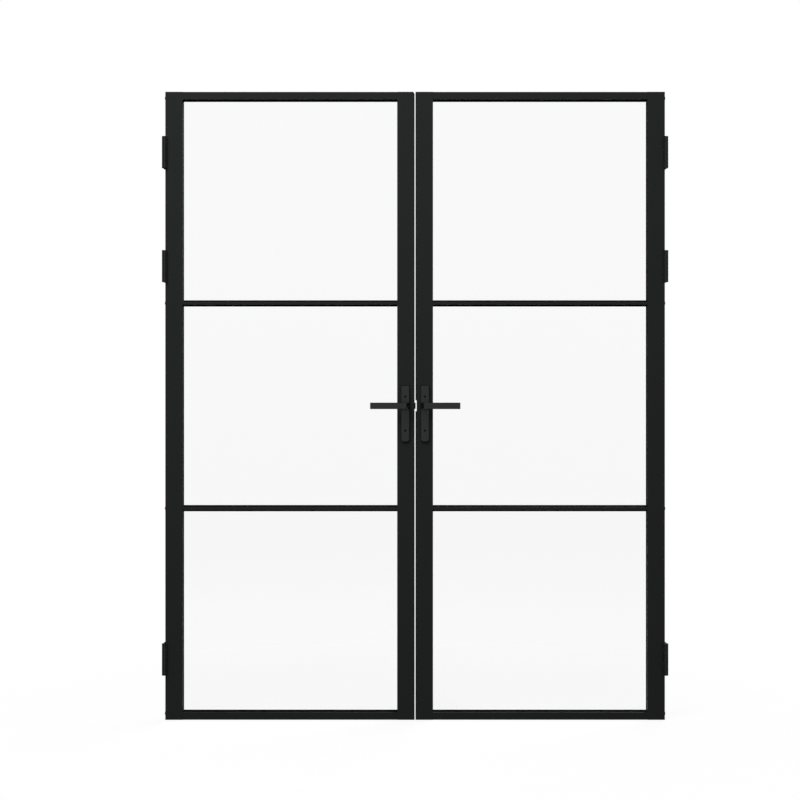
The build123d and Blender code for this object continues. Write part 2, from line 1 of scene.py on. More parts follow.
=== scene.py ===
import math

import bmesh
import bpy
from bpy.props import FloatProperty, FloatVectorProperty, IntProperty, PointerProperty
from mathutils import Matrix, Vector


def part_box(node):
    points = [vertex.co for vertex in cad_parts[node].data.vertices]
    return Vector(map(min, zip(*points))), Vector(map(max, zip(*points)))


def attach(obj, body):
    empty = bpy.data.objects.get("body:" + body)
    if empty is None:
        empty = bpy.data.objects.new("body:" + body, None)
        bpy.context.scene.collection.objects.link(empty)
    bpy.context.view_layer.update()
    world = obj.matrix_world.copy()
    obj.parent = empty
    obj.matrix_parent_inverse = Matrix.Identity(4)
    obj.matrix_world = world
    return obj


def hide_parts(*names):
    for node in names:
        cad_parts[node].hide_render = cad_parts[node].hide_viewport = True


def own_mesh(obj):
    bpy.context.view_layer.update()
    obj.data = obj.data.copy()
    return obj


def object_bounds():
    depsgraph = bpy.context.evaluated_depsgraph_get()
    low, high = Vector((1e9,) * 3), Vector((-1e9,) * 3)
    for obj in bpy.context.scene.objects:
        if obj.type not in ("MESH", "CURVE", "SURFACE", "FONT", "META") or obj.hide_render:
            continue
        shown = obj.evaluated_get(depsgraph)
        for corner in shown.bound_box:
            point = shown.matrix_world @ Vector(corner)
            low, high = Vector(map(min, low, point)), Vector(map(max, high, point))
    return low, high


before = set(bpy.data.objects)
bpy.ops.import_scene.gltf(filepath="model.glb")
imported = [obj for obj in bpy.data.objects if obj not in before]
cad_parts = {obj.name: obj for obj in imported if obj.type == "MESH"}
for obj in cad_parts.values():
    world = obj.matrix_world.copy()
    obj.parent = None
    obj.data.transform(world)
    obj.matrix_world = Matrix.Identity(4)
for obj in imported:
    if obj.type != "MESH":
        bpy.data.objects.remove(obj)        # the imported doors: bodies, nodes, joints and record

bl_info = {
    "name": "French Doors",
    "version": (1, 0, 0),
    "blender": (4, 5, 0),
    "location": "View3D > Sidebar > Doors",
    "description": "Finishes a pair of black glazed french doors and sets them in a white studio",
    "category": "Object",
}

CAD_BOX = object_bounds()
MM = 0.001
WHITE = (1, 1, 1, 1)
SIDES = {"left": -1, "right": 1}
LEVELS = ("upper", "middle", "lower")
HINGES = ("top", "middle", "bottom")
X_AXIS, Y_AXIS, Z_AXIS = 0, 1, 2
# Points closer than this, in metres, are one point; sizes alike to this many decimals are one size.
WELD = 1e-6
LIKE_DECIMALS = 5
# Faces that meet at more than this angle keep a sharp edge.
EDGE_ANGLE = math.radians(32)
# Values between which a noise pattern mostly lies; they are spread to the whole range from 0 to 1.
NOISE_LOW, NOISE_HIGH = 0.3, 0.7
# A wave texture of scale 1 turns by this many radians in each metre.
WAVE_RADIANS = 20
# A Mix node's sockets for numbers and for colours share their names, so they are picked by number.
NUMBER_A, NUMBER_B, NUMBER_OUT = 2, 3, 0
COLOUR_A, COLOUR_B, COLOUR_OUT = 6, 7, 2
# Shares of a screw head's height: how deep its socket may go, and how far its shank reaches into it.
SOCKET_REACH_SHARE = 0.7
SHANK_REACH_SHARE = 0.25
# Directions in which gloss sees the studio's panels, along Y and across X: where each fades in and is whole.
FRONT_PANEL = (-0.8, -0.97)
SIDE_PANEL = (0.95, 0.99)
# Directions, up Z, between which the panels grow brighter.
PANEL_RISE = (-0.6, 0.6)


# Values that a user may change

def linear(hex_code):
    """Linear red, green and blue of an sRGB hex colour."""
    values = [int(hex_code[start:start + 2], 16) / 255 for start in (1, 3, 5)]
    return [v / 12.92 if v <= 0.04045 else ((v + 0.055) / 1.055) ** 2.4 for v in values]


def colour(name, description, hex_code):
    """A colour that a user may change."""
    return FloatVectorProperty(name=name, description=description, subtype="COLOR", size=3, min=0, max=1,
                               default=linear(hex_code))


def length(name, description, size_mm):
    """A length that a user may change, given in millimetres."""
    return FloatProperty(name=name, description=description, unit="LENGTH", min=0, precision=5,
                         default=size_mm * MM)


def share(name, description, default):
    """A plain factor that a user may change."""
    return FloatProperty(name=name, description=description, subtype="FACTOR", min=0, max=1, default=default)


def place(name, description, metres):
    """A place in the doors' own frame that a user may change."""
    return FloatVectorProperty(name=name, description=description, subtype="XYZ", unit="LENGTH", size=3,
                               default=metres)


class DoorFinishes(bpy.types.PropertyGroup):
    """Colours of the doors, and the sizes of their surface patterns."""
    coat: colour("Frame coat", "Powder coat on stiles, rails and bars", "#1D1F1E")
    coat_speck: colour("Coat speck", "Paler specks in the powder coat", "#252726")
    hardware: colour("Hardware coat", "Coat on hinges, backplates and levers", "#0F1110")
    hardware_cloud: colour("Hardware cloud", "Slight unevenness of the hardware's coat", "#151716")
    gasket: colour("Gasket", "Rubber round the panes", "#040404")
    gasket_bloom: colour("Gasket bloom", "Dusty bloom on the rubber", "#0A0A0A")
    glass: colour("Glass", "Tint of the panes", "#FBFBFB")
    screw: colour("Screws", "Black oxide on the screws", "#050505")
    screw_rub: colour("Screw rub", "Rubbed oxide on the screws", "#0C0C0B")
    plating: colour("Latch plating", "Black plating on the latch and strike", "#161616")
    plating_drawn: colour("Plating lines", "Paler drawn lines in the black plating", "#222222")
    zinc: colour("Zinc", "Zinc plating on hidden steel", "#8E9092")
    zinc_dull: colour("Dull zinc", "Duller patches of the zinc", "#74777A")
    plug: colour("Plugs", "Nylon plugs in the stiles' ends", "#0B0B0B")
    plug_flow: colour("Plug flow", "Flow marks in the nylon", "#141414")
    coat_grain: length("Coat grain", "Width of the grains of the powder coat", 1.6)
    dip_dimple: length("Hardware dimple", "Width of the dimples in the hardware's coat", 1.0)
    glass_wave: length("Glass wave", "Length of the roller waves that toughening leaves", 280)
    bloom_patch: length("Bloom patch", "Width of the patches of bloom on the rubber", 12)
    rub_spot: length("Rub spot", "Width of the rubbed spots on the screws", 1.4)
    drawn_line: length("Drawn line", "Width of the drawn lines in the black plating", 0.9)
    zinc_patch: length("Zinc patch", "Width of the zinc's duller patches", 6)
    flow_mark: length("Flow mark", "Width of the flow marks in the nylon", 5)


class GasketSizes(bpy.types.PropertyGroup):
    """Section of the gasket round each pane."""
    seat: length("Seat", "Rubber between the glass's edge and the groove's floor", 2.0)
    height: length("Height", "From the gasket's foot to the top of its lips", 8.9)
    leg: length("Leg", "Rubber between the glass's face and the groove's side", 2.9)
    lip_round: length("Lip round", "Radius of the lips' outer corners", 1.6)
    lip_fall: length("Lip fall", "How far the lips fall towards the glass", 0.7)
    lip_steps: IntProperty(name="Lip steps", description="Flats in each lip's round", min=1, default=6)


class SpringSizes(bpy.types.PropertyGroup):
    """The latch's coil spring."""
    wire: length("Wire", "Thickness of the spring's wire", 1.0)
    turns: FloatProperty(name="Turns", description="Turns of the spring", min=1, default=5)
    play: length("Play", "Play at each end of the spring", 0.1)
    steps: IntProperty(name="Steps", description="Steps in each turn", min=8, default=24)
    wire_sides: IntProperty(name="Wire sides", description="Sides of the round wire", min=4, default=10)


class ScrewSizes(bpy.types.PropertyGroup):
    """Sizes of the screws that their boxes don't give."""
    button_height: length("Button head", "Height of the domed heads on the outer edges", 2.2)
    button_rim: length("Button rim", "Straight rim under the dome", 0.6)
    cap_height: length("Cap head", "Height of the backplate screws' heads", 2.5)
    assembly_shank: length("Assembly shank", "Radius of the screws through the stiles", 2.4)
    flap_shank: length("Flap shank", "Radius of the hinge screws", 2.3)
    latch_shank: length("Latch shank", "Radius of the latch and strike screws", 1.8)
    plate_shank: length("Plate shank", "Radius of the backplate screws", 2.0)
    sleeve: length("Sleeve", "Radius of the sleeve nuts", 3.0)
    socket_share: share("Socket share", "Hexagon socket as a share of the head", 0.5)
    thread_pitch: length("Thread pitch", "Distance between the thread's turns", 1.6)
    thread_height: length("Thread height", "How far the thread stands off the shank", 0.28)
    thread_sides: IntProperty(name="Thread sides", description="Sides of the thread's ridge", min=3,
                              default=4)
    long_thread: share("Long thread", "Threaded share of the screws through the stiles", 0.4)
    short_thread: share("Short thread", "Threaded share of the hinge, latch and strike screws", 0.8)
    plate_thread: share("Plate thread", "Threaded share of the backplate screws and sleeve nuts", 0.15)
    segments: IntProperty(name="Segments", description="Sides of a screw head", min=8, default=32)


class StageSetup(bpy.types.PropertyGroup):
    """Camera, lights and floor."""
    camera_left: length("Camera left", "Camera's distance to the left of the meeting line", 48.4)
    camera_distance: length("Camera distance", "From the leaves' front to the camera", 5600)
    camera_height: length("Camera height", "Camera's height above the floor", 1026.2)
    view_width: length("View width", "Width that the picture spans at the leaves' front", 2566.5)
    floor: colour("Floor", "Pale floor", "#F4F4F3")
    floor_width: length("Floor width", "Side of the floor", 24000)
    floor_white: share("Floor white", "Share of the floor's white that shadows don't take", 0.9)
    white_reach: length("White reach", "Distance from the doors at which the floor is all white", 1800)
    ambient: share("Ambient", "Light from all round", 0.3)
    panel_low: share("Panels, low", "What gloss sees low on the panels round the doors", 0.29)
    panel_high: share("Panels, high", "What gloss sees high on the panels", 1.0)
    dim_room: share("Dim room", "What gloss sees between the panels", 0.02)
    key_place: place("Key place", "Soft light above the camera, a little to the left", (-1.0, -2.6, 3.6))
    key_power: FloatProperty(name="Key power", description="Power of the key", unit="POWER", min=0,
                             default=132)
    rear_place: place("Rear place", "Soft light on the back", (1.8, 2.8, 3.4))
    rear_power: FloatProperty(name="Rear power", description="Power of the rear light", unit="POWER", min=0,
                              default=112)
    lamp_width: length("Lamp width", "Side of the soft lights", 2500)


# Finishes

def add(tree, kind, settings=None, inputs=None):
    """Add a node, set its own settings, and set or link its inputs by name or number.
    A list gives one input several links."""
    node = tree.nodes.new(kind)
    for key, value in (settings or {}).items():
        setattr(node, key, value)
    for key, value in (inputs or {}).items():
        links = value if isinstance(value, list) else [value]
        for link in links:
            if isinstance(link, bpy.types.NodeSocket):
                tree.links.new(link, node.inputs[key])
            else:
                node.inputs[key].default_value = link
    return node


def new_material(name):
    """An empty material with its shader, and the place of each point in metres."""
    material = bpy.data.materials.new(name)
    material.use_nodes = True
    tree = material.node_tree
    tree.nodes.clear()
    shader = add(tree, "ShaderNodeBsdfPrincipled")
    add(tree, "ShaderNodeOutputMaterial", inputs={"Surface": shader.outputs["BSDF"]})
    points = add(tree, "ShaderNodeTexCoord").outputs["Object"]
    return material, tree, shader, points


def follow_pattern(tree, shader, pattern, tones, roughness, relief_mm, relief_strength):
    """Let one pattern run a surface's colour, its roughness and its relief."""
    pattern = add(tree, "ShaderNodeMapRange", inputs={
        "Value": pattern, "From Min": NOISE_LOW, "From Max": NOISE_HIGH}).outputs["Result"]
    mix = add(tree, "ShaderNodeMix", {"data_type": "RGBA"},
              {"Factor": pattern, COLOUR_A: (*tones[0], 1), COLOUR_B: (*tones[1], 1)})
    tree.links.new(mix.outputs[COLOUR_OUT], shader.inputs["Base Color"])
    spread = add(tree, "ShaderNodeMapRange",
                 inputs={"Value": pattern, "To Min": roughness[0], "To Max": roughness[1]})
    tree.links.new(spread.outputs["Result"], shader.inputs["Roughness"])
    bump = add(tree, "ShaderNodeBump",
               inputs={"Height": pattern, "Strength": relief_strength, "Distance": relief_mm * MM})
    tree.links.new(bump.outputs["Normal"], shader.inputs["Normal"])


def powder_coat(finish):
    """Black polyester powder, sprayed dry and baked."""
    material, tree, shader, points = new_material("black_powder_coat")
    # Deep matt black with an even, finely pebbled skin.
    # The real grain is about 0.3 mm; it is drawn coarser so that it shows at all.
    grain = add(tree, "ShaderNodeTexNoise",
                inputs={"Vector": points, "Scale": 1 / finish.coat_grain, "Detail": 3, "Roughness": 0.65})
    follow_pattern(tree, shader, grain.outputs[0], tones=(finish.coat, finish.coat_speck),
                   roughness=(0.48, 0.64), relief_mm=0.2, relief_strength=0.5)
    shader.inputs["Specular IOR Level"].default_value = 0.14
    return material


def hardware_coat(finish):
    """Black dip coat on die-cast levers and pressed plates and hinges."""
    material, tree, shader, points = new_material("satin_black_dip_coat")
    # Satin and smoother than the frame: flat faces mirror the light before them, and rounds go dark.
    dimple = add(tree, "ShaderNodeTexNoise",
                 inputs={"Vector": points, "Scale": 1 / finish.dip_dimple, "Detail": 2, "Roughness": 0.5})
    follow_pattern(tree, shader, dimple.outputs[0], tones=(finish.hardware, finish.hardware_cloud),
                   roughness=(0.27, 0.36), relief_mm=0.04, relief_strength=0.12)
    shader.inputs["Specular IOR Level"].default_value = 0.54
    return material


def gasket_rubber(finish):
    """Black EPDM, extruded."""
    material, tree, shader, points = new_material("black_epdm_rubber")
    # Blacker than any coat beside it and dull, with a faint bloom in soft patches.
    bloom = add(tree, "ShaderNodeTexNoise",
                inputs={"Vector": points, "Scale": 1 / finish.bloom_patch, "Detail": 4, "Roughness": 0.6})
    follow_pattern(tree, shader, bloom.outputs[0], tones=(finish.gasket, finish.gasket_bloom),
                   roughness=(0.62, 0.8), relief_mm=0.05, relief_strength=0.1)
    shader.inputs["Specular IOR Level"].default_value = 0.03
    return material


def toughened_glass(finish):
    """Clear float glass, toughened."""
    material, tree, shader, points = new_material("clear_toughened_glass")
    # Colourless from the front; long faint roller waves bend what its gloss shows.
    wave = add(tree, "ShaderNodeTexWave", {"bands_direction": "Z", "wave_profile": "SIN"}, {
        "Vector": points, "Scale": math.tau / (WAVE_RADIANS * finish.glass_wave), "Distortion": 1.5,
        "Detail": 1})
    rise = wave.outputs["Fac"]
    haze = add(tree, "ShaderNodeMapRange", inputs={"Value": rise, "To Min": 0, "To Max": 0.012})
    tree.links.new(haze.outputs["Result"], shader.inputs["Roughness"])
    bump = add(tree, "ShaderNodeBump", inputs={"Height": rise, "Strength": 0.04, "Distance": 0.1 * MM})
    tree.links.new(bump.outputs["Normal"], shader.inputs["Normal"])
    shader.inputs["Base Color"].default_value = (*finish.glass, 1)
    shader.inputs["Transmission Weight"].default_value = 1
    shader.inputs["IOR"].default_value = 1.5
    return material


def black_oxide(finish):
    """Steel screws blackened in a hot salt bath."""
    material, tree, shader, points = new_material("black_oxide_steel")
    # Nearly black with a thin oily sheen, rubbed in small spots.
    rub = add(tree, "ShaderNodeTexNoise",
              inputs={"Vector": points, "Scale": 1 / finish.rub_spot, "Detail": 3})
    follow_pattern(tree, shader, rub.outputs[0], tones=(finish.screw, finish.screw_rub),
                   roughness=(0.45, 0.6), relief_mm=0.03, relief_strength=0.08)
    shader.inputs["Specular IOR Level"].default_value = 0.08
    return material


def latch_plating(finish):
    """Black zinc-nickel on stamped steel."""
    material, tree, shader, points = new_material("black_plated_steel")
    # Near black with a thin metal sheen, drawn in lines along the bolt's travel.
    stretched = add(tree, "ShaderNodeMapping", inputs={"Vector": points, "Scale": (0.15, 1, 1)}).outputs[0]
    lines = add(tree, "ShaderNodeTexNoise",
                inputs={"Vector": stretched, "Scale": 1 / finish.drawn_line, "Detail": 2})
    follow_pattern(tree, shader, lines.outputs[0], tones=(finish.plating, finish.plating_drawn),
                   roughness=(0.38, 0.52), relief_mm=0.04, relief_strength=0.1)
    shader.inputs["Metallic"].default_value = 0.6
    return material


def zinc_steel(finish):
    """Bright zinc-plated steel, hidden inside the stiles."""
    material, tree, shader, points = new_material("zinc_plated_steel")
    # Pale grey metal with soft duller patches.
    patch = add(tree, "ShaderNodeTexVoronoi", inputs={"Vector": points, "Scale": 1 / finish.zinc_patch})
    follow_pattern(tree, shader, patch.outputs["Distance"], tones=(finish.zinc, finish.zinc_dull),
                   roughness=(0.28, 0.45), relief_mm=0.02, relief_strength=0.05)
    shader.inputs["Metallic"].default_value = 1
    return material


def moulded_nylon(finish):
    """Glass-filled black nylon, injection moulded."""
    material, tree, shader, points = new_material("moulded_black_nylon")
    # Dull black with faint flow marks.
    flow = add(tree, "ShaderNodeTexNoise",
               inputs={"Vector": points, "Scale": 1 / finish.flow_mark, "Detail": 3, "Distortion": 1.2})
    follow_pattern(tree, shader, flow.outputs[0], tones=(finish.plug, finish.plug_flow),
                   roughness=(0.55, 0.7), relief_mm=0.05, relief_strength=0.1)
    return material


FINISHES_MADE = {}


def finish_of(make, scene):
    """The material that a function makes, made only once."""
    if make not in FINISHES_MADE:
        FINISHES_MADE[make] = make(scene.door_finishes)
    return FINISHES_MADE[make]


def on_both(*names):
    """Node names of both leaves."""
    return [f"{side}_{name}" for side in SIDES for name in names]


def paint(nodes, material):
    """Give a material to CAD nodes."""
    for node in nodes:
        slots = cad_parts[node].data.materials
        slots.clear()
        slots.append(material)


def show_piece(mesh, material, body, replaced):
    """Show a finished mesh as a piece that moves with a body and stands for a CAD node."""
    mesh.shade_smooth()
    mesh.set_sharp_from_angle(angle=EDGE_ANGLE)
    mesh.materials.clear()
    mesh.materials.append(material)
    piece = bpy.data.objects.new(mesh.name, mesh)
    bpy.context.scene.collection.objects.link(piece)
    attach(piece, body)
    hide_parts(replaced)
    return piece


# Gaskets

def gasket_section(glass_half, sizes):
    """Height above the gasket's foot and depth across the leaf: a channel with two soft lips."""
    outer = glass_half + sizes.leg
    lip = []
    for step in range(sizes.lip_steps + 1):
        angle = math.pi / 2 * step / sizes.lip_steps
        lip.append((sizes.height - sizes.lip_round * (1 - math.sin(angle)),
                    outer - sizes.lip_round * (1 - math.cos(angle))))
    half = [(0, outer), *lip, (sizes.height - sizes.lip_fall, glass_half), (sizes.seat, glass_half)]
    return half + [(height, -depth) for height, depth in reversed(half)]


def run_round_pane(shape, section, low, high):
    """Run a closed section round a pane's rectangle, with mitred corners."""
    rings = []
    for height, depth in section:
        corners = [(low.x + height, low.z + height), (high.x - height, low.z + height),
                   (high.x - height, high.z - height), (low.x + height, high.z - height)]
        rings.append([shape.verts.new((x, depth, z)) for x, z in corners])
    for ring, following in zip(rings, rings[1:] + rings[:1]):
        for corner in range(len(ring)):
            after = (corner + 1) % len(ring)
            shape.faces.new((ring[corner], ring[after], following[after], following[corner]))


def fit_gaskets(side, sizes, material):
    """The three lipped gaskets of a leaf, each fitted round its pane."""
    shape = bmesh.new()
    reach = Vector((sizes.seat, 0, sizes.seat))
    for level in LEVELS:
        low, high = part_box(f"{side}_{level}_glass")
        run_round_pane(shape, gasket_section(high.y, sizes), low - reach, high + reach)
    bmesh.ops.recalc_face_normals(shape, faces=shape.faces)
    mesh = bpy.data.meshes.new(f"{side}_lipped_gaskets")
    shape.to_mesh(mesh)
    shape.free()
    show_piece(mesh, material, f"{side}_leaf", f"{side}_glazing_gaskets")


# Spring and screws

def size_tree(name, sizes, places):
    """An empty node tree with named inputs for sizes, places and the material."""
    tree = bpy.data.node_groups.new(name, "GeometryNodeTree")
    tree.interface.new_socket("Geometry", in_out="INPUT", socket_type="NodeSocketGeometry")
    for size in sizes:
        tree.interface.new_socket(size, in_out="INPUT", socket_type="NodeSocketFloat")
    for point in places:
        tree.interface.new_socket(point, in_out="INPUT", socket_type="NodeSocketVector")
    tree.interface.new_socket("Material", in_out="INPUT", socket_type="NodeSocketMaterial")
    tree.interface.new_socket("Geometry", in_out="OUTPUT", socket_type="NodeSocketGeometry")
    return tree, add(tree, "NodeGroupInput").outputs


def stand_on_points(tree, given, shape):
    """End a tree: a turned copy of the shape on each point, as plain faces with their material."""
    rotation = add(tree, "FunctionNodeEulerToRotation", inputs={"Euler": given["Turn"]}).outputs[0]
    placed = add(tree, "GeometryNodeInstanceOnPoints", inputs={
        "Points": given["Geometry"], "Instance": shape, "Rotation": rotation}).outputs["Instances"]
    plain = add(tree, "GeometryNodeRealizeInstances", inputs={0: placed}).outputs[0]
    finished = add(tree, "GeometryNodeSetMaterial", inputs={
        0: plain, "Material": given["Material"]}).outputs[0]
    add(tree, "NodeGroupOutput", inputs={0: finished})


def spring_tree(steps, wire_sides):
    """Node tree that winds a round wire up +Z from each point of a mesh, before it is turned."""
    tree, given = size_tree("coil_spring", ("Coil Radius", "Wire Radius", "Turns", "Length"), ("Turn",))
    spiral = add(tree, "GeometryNodeCurveSpiral", inputs={
        "Resolution": steps, "Rotations": given["Turns"], "Start Radius": given["Coil Radius"],
        "End Radius": given["Coil Radius"], "Height": given["Length"]}).outputs["Curve"]
    section = add(tree, "GeometryNodeCurvePrimitiveCircle", inputs={
        "Resolution": wire_sides, "Radius": given["Wire Radius"]}).outputs["Curve"]
    coil = add(tree, "GeometryNodeCurveToMesh", inputs={
        "Curve": spiral, "Profile Curve": section, "Fill Caps": True}).outputs["Mesh"]
    stand_on_points(tree, given, coil)
    return tree


def screw_tree(segments, thread_sides):
    """Node tree that stands a socket-head screw on each point of a mesh, head up +Z before it is turned."""
    tree, given = size_tree(
        "socket_head_screws",
        ("Seat Radius", "Face Radius", "Head Height", "Dome Radius", "Socket Radius", "Socket Length",
         "Shank Radius", "Shank Length", "Thread Turns", "Thread Length", "Thread Height"),
        ("Head Foot", "Dome Centre", "Socket Centre", "Shank Centre", "Thread Foot", "Turn"))

    cone = add(tree, "GeometryNodeMeshCone", inputs={
        "Vertices": segments, "Radius Top": given["Face Radius"], "Radius Bottom": given["Seat Radius"],
        "Depth": given["Head Height"]}).outputs["Mesh"]
    head = add(tree, "GeometryNodeTransform", inputs={0: cone, "Translation": given["Head Foot"]}).outputs[0]
    ball = add(tree, "GeometryNodeMeshUVSphere", inputs={
        "Segments": segments, "Rings": 2 * segments, "Radius": given["Dome Radius"]}).outputs["Mesh"]
    dome = add(tree, "GeometryNodeTransform", inputs={
        0: ball, "Translation": given["Dome Centre"]}).outputs[0]
    domed_head = add(tree, "GeometryNodeMeshBoolean", {"operation": "INTERSECT", "solver": "EXACT"},
                     {"Mesh 2": [head, dome]}).outputs["Mesh"]
    has_dome = add(tree, "FunctionNodeCompare", {"operation": "GREATER_THAN"},
                   {0: given["Dome Radius"], 1: 0.0}).outputs[0]
    crown = add(tree, "GeometryNodeSwitch",
                inputs={"Switch": has_dome, "False": head, "True": domed_head}).outputs[0]

    rod = add(tree, "GeometryNodeMeshCylinder", inputs={
        "Vertices": segments // 2, "Radius": given["Shank Radius"],
        "Depth": given["Shank Length"]}).outputs["Mesh"]
    shank = add(tree, "GeometryNodeTransform", inputs={
        0: rod, "Translation": given["Shank Centre"]}).outputs[0]
    blank = add(tree, "GeometryNodeMeshBoolean", {"operation": "UNION", "solver": "EXACT"},
                {"Mesh 2": [crown, shank]}).outputs["Mesh"]
    hexagon = add(tree, "GeometryNodeMeshCylinder", inputs={
        "Vertices": 6, "Radius": given["Socket Radius"], "Depth": given["Socket Length"]}).outputs["Mesh"]
    socket = add(tree, "GeometryNodeTransform",
                 inputs={0: hexagon, "Translation": given["Socket Centre"]}).outputs[0]
    screw = add(tree, "GeometryNodeMeshBoolean", {"operation": "DIFFERENCE", "solver": "EXACT"},
                {"Mesh 1": blank, "Mesh 2": socket}).outputs["Mesh"]

    spiral = add(tree, "GeometryNodeCurveSpiral", inputs={
        "Resolution": segments // 2, "Rotations": given["Thread Turns"],
        "Start Radius": given["Shank Radius"], "End Radius": given["Shank Radius"],
        "Height": given["Thread Length"]}).outputs["Curve"]
    ridge = add(tree, "GeometryNodeCurvePrimitiveCircle", inputs={
        "Resolution": thread_sides, "Radius": given["Thread Height"]}).outputs["Curve"]
    turns = add(tree, "GeometryNodeCurveToMesh", inputs={
        "Curve": spiral, "Profile Curve": ridge, "Fill Caps": True}).outputs["Mesh"]
    thread = add(tree, "GeometryNodeTransform", inputs={
        0: turns, "Translation": given["Thread Foot"]}).outputs[0]
    whole = add(tree, "GeometryNodeJoinGeometry", inputs={0: [screw, thread]}).outputs[0]
    stand_on_points(tree, given, whole)
    return tree


def grow(tree, points, values):
    """The plain mesh that a node tree makes on a set of points."""
    seeds = bpy.data.meshes.new("seed_points")
    seeds.from_pydata([tuple(point) for point in points], [], [])
    holder = bpy.data.objects.new("seed_points", seeds)
    bpy.context.scene.collection.objects.link(holder)
    modifier = holder.modifiers.new("grow", "NODES")
    modifier.node_group = tree
    for item in tree.interface.items_tree:
        if item.in_out == "INPUT" and item.name in values:
            modifier[item.identifier] = values[item.name]
    shown = holder.evaluated_get(bpy.context.evaluated_depsgraph_get())
    mesh = bpy.data.meshes.new_from_object(shown)
    holder.modifiers.remove(modifier)
    bpy.data.objects.remove(holder)
    bpy.data.meshes.remove(seeds)
    if not mesh.polygons:
        raise RuntimeError(f"{tree.name} made no faces")
    return mesh


class ScrewKind:
    """One kind of screw: its head, its shank and how much of the shank is threaded."""

    def __init__(self, shank, thread_share, head_height=0, rim=None):
        self.shank = shank
        self.thread_share = thread_share
        self.head_height = head_height
        self.rim = rim

    def values(self, radius, total, sizes):
        """Inputs of the node tree for a screw of this head radius and whole length, its seat at z = 0."""
        sunk = self.head_height == 0
        foot = self.shank - radius if sunk else 0
        top = self.head_height
        dome = 0
        if self.rim is not None:
            rise = self.head_height - self.rim
            dome = (radius ** 2 + rise ** 2) / (2 * rise)
        end = top - total
        shank_top = foot + SHANK_REACH_SHARE * (top - foot)
        thread = (foot - end) * self.thread_share
        socket = radius * sizes.socket_share
        socket_depth = min(socket, SOCKET_REACH_SHARE * (top - foot))
        return {
            "Seat Radius": self.shank if sunk else radius, "Face Radius": radius, "Head Height": top - foot,
            "Dome Radius": dome, "Socket Radius": socket, "Socket Length": 2 * socket_depth,
            "Shank Radius": self.shank, "Shank Length": shank_top - end,
            "Thread Turns": thread / sizes.thread_pitch, "Thread Length": thread,
            "Thread Height": sizes.thread_height, "Head Foot": (0, 0, foot),
            "Dome Centre": (0, 0, top - dome), "Socket Centre": (0, 0, top),
            "Shank Centre": (0, 0, (shank_top + end) / 2), "Thread Foot": (0, 0, end + sizes.thread_height),
        }


def solids_in(node):
    """Lowest and highest corner of each separate solid in a CAD node."""
    shape = bmesh.new()
    shape.from_mesh(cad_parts[node].data)
    bmesh.ops.remove_doubles(shape, verts=shape.verts, dist=WELD)
    seen = set()
    boxes = []
    for start in shape.verts:
        if start in seen:
            continue
        seen.add(start)
        island = []
        waiting = [start]
        while waiting:
            vertex = waiting.pop()
            island.append(vertex.co.copy())
            for edge in vertex.link_edges:
                other = edge.other_vert(vertex)
                if other not in seen:
                    seen.add(other)
                    waiting.append(other)
        boxes.append((Vector(map(min, *island)), Vector(map(max, *island))))
    shape.free()
    return boxes


def turn_to(axis, way):
    """Euler turn that lays +Z along an axis, one way or the other."""
    if axis == X_AXIS:
        return (0, way * math.pi / 2, 0)
    return (-way * math.pi / 2, 0, 0)


def wind_spring(sizes, material):
    """Wind the latch's spring of round wire."""
    node = "left_latch_spring"
    low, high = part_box(node)
    wire = sizes.wire / 2
    foot = (low + high) / 2
    foot.x = low.x + wire + sizes.play
    span = high.x - low.x
    mesh = grow(spring_tree(sizes.steps, sizes.wire_sides), [foot], {
        "Coil Radius": (high.z - low.z) / 2 - wire, "Wire Radius": wire, "Turns": sizes.turns,
        "Length": span - 2 * (wire + sizes.play), "Turn": turn_to(X_AXIS, 1), "Material": material})
    mesh.name = "left_latch_coil"
    piece = show_piece(mesh, material, "left_leaf", node)
    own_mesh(piece)


def fit_screws(node, body, axis, way_of, kind_of, sizes, material):
    """Replace a CAD node of screws by the same screws with sockets and threads."""
    tree = bpy.data.node_groups.get("socket_head_screws") or screw_tree(sizes.segments, sizes.thread_sides)
    across = [index for index in (X_AXIS, Y_AXIS, Z_AXIS) if index != axis]
    alike = {}
    for low, high in solids_in(node):
        way = way_of(low, high)
        total = high[axis] - low[axis]
        radius = max(high[index] - low[index] for index in across) / 2
        kind = kind_of(total, way)
        seat = (low + high) / 2
        seat[axis] = (high[axis] if way > 0 else low[axis]) - way * kind.head_height
        key = (round(total, LIKE_DECIMALS), round(radius, LIKE_DECIMALS), way)
        alike.setdefault(key, (kind, []))[1].append(seat)
    shape = bmesh.new()
    for (total, radius, way), (kind, seats) in alike.items():
        values = kind.values(radius, total, sizes)
        values.update({"Turn": turn_to(axis, way), "Material": material})
        grown = grow(tree, seats, values)
        shape.from_mesh(grown)
        bpy.data.meshes.remove(grown)
    bmesh.ops.remove_doubles(shape, verts=shape.verts, dist=WELD)
    mesh = bpy.data.meshes.new(node + "_with_sockets")
    shape.to_mesh(mesh)
    shape.free()
    show_piece(mesh, material, body, node)


# Operators

class DOORS_OT_frames(bpy.types.Operator):
    """Coat the stiles, rails and glazing bars"""
    bl_idname = "french_doors.frames"
    bl_label = "Coat Frames"

    def execute(self, context):
        names = ("hinge_stile", "meeting_stile", "top_rail", "bottom_rail", "upper_bar", "lower_bar")
        paint(on_both(*names), finish_of(powder_coat, context.scene))
        return {"FINISHED"}


class DOORS_OT_plugs(bpy.types.Operator):
    """Finish the plugs in the ends of the stiles"""
    bl_idname = "french_doors.plugs"
    bl_label = "Finish Plugs"

    def execute(self, context):
        paint(on_both("stile_plugs"), finish_of(moulded_nylon, context.scene))
        return {"FINISHED"}


